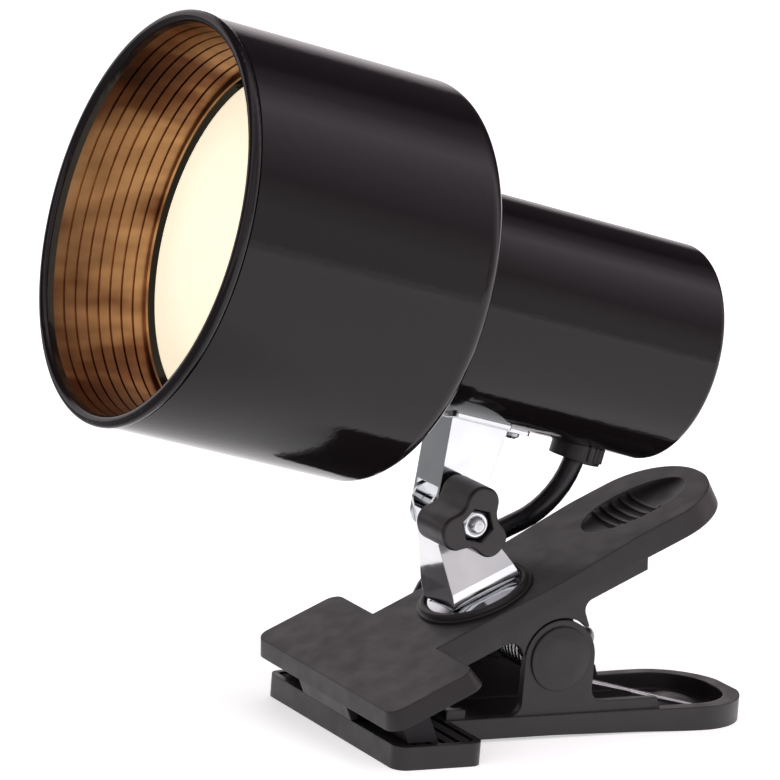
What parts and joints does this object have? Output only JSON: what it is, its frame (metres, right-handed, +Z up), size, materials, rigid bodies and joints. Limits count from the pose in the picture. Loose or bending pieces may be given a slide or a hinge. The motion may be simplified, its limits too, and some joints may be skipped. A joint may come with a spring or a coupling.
{
  "type": "clip-on reading lamp",
  "caption": "Clip-on reading lamp: cylindrical black shade with a copper-coloured louvre, tilting and turning on a chrome bracket above a sprung padded clamp, with its cord coiled behind.",
  "frame": {"origin": "centre of the footprint of the lamp without its cord, at the lowest face of the clip", "axes": "+Z up, -Y towards the shade's open end, X along the clip's pivot pin"},
  "size_m": [0.1834, 0.2204, 0.2006],
  "materials": {
    "black_enamel": "gloss",
    "copper_reflector": "satin",
    "chrome_plate": "polished",
    "zinc_steel": "satin",
    "black_plastic": "satin",
    "grey_plastic": "matte",
    "pad_rubber": "matte",
    "cord_rubber": "satin",
    "porcelain": "gloss",
    "brass": "satin",
    "cap_aluminium": "satin",
    "frosted_glass": "matte"
  },
  "bodies": {
    "base": {"lower_clip": "black_plastic", "lower_pad": "pad_rubber", "pivot_pin": "zinc_steel", "pivot_caps": "black_plastic", "torsion_spring": "zinc_steel", "cord_drop": "cord_rubber", "cord_coil": "cord_rubber", "cable_tie": "black_plastic", "cord_tail": "cord_rubber", "plug_body": "cord_rubber", "plug_blades": "brass"},
    "lever": {"upper_lever": "black_plastic", "upper_pad": "pad_rubber", "swivel_seat": "black_plastic"},
    "bracket": {"lower_bracket": "chrome_plate", "base_disc": "chrome_plate", "swivel_rivet": "zinc_steel", "rivet_washer": "zinc_steel", "tilt_bolt": "chrome_plate", "lock_washer": "zinc_steel", "cord_mid": "cord_rubber"},
    "head": {"shade": "black_enamel", "rim_ring": "black_enamel", "baffle": "copper_reflector", "rear_housing": "black_enamel", "shade_screws": "zinc_steel", "bulb_glass": "frosted_glass", "bulb_base": "cap_aluminium", "lampholder": "porcelain", "screw_shell": "brass", "centre_contact": "brass", "socket_bracket": "zinc_steel", "socket_screws": "zinc_steel", "upper_bracket": "chrome_plate", "bracket_screws": "zinc_steel", "gland_body": "black_plastic", "gland_collar": "black_plastic", "cord_lead": "cord_rubber"},
    "knob": {"knob": "grey_plastic", "knob_nut": "chrome_plate"}
  },
  "joints": [
    {"name": "clip_open", "type": "hinge", "parent": "base", "child": "lever", "pos_m": [0, 0.03722, 0.02286], "axis": [-1, 0, 0], "range_deg": [0, 38], "stiffness_Nm_per_rad": 0.9, "springref_deg": -60.16, "deforming": ["torsion_spring", "cord_drop"]},
    {"name": "swivel", "type": "hinge", "parent": "lever", "child": "bracket", "pos_m": [0, 0.01893, 0.03762], "axis": [0, -0.4139, 0.9103], "range_deg": [-90, 90], "deforming": ["cord_mid"]},
    {"name": "head_tilt", "type": "hinge", "parent": "bracket", "child": "head", "pos_m": [0, 0.0042, 0.06349], "axis": [1, 0, 0], "range_deg": [-12, 45], "deforming": ["cord_lead"]},
    {"name": "knob_turn", "type": "hinge", "parent": "bracket", "child": "knob", "pos_m": [0.0165, 0.0042, 0.06349], "axis": [1, 0, 0], "continuous": true}
  ]
}
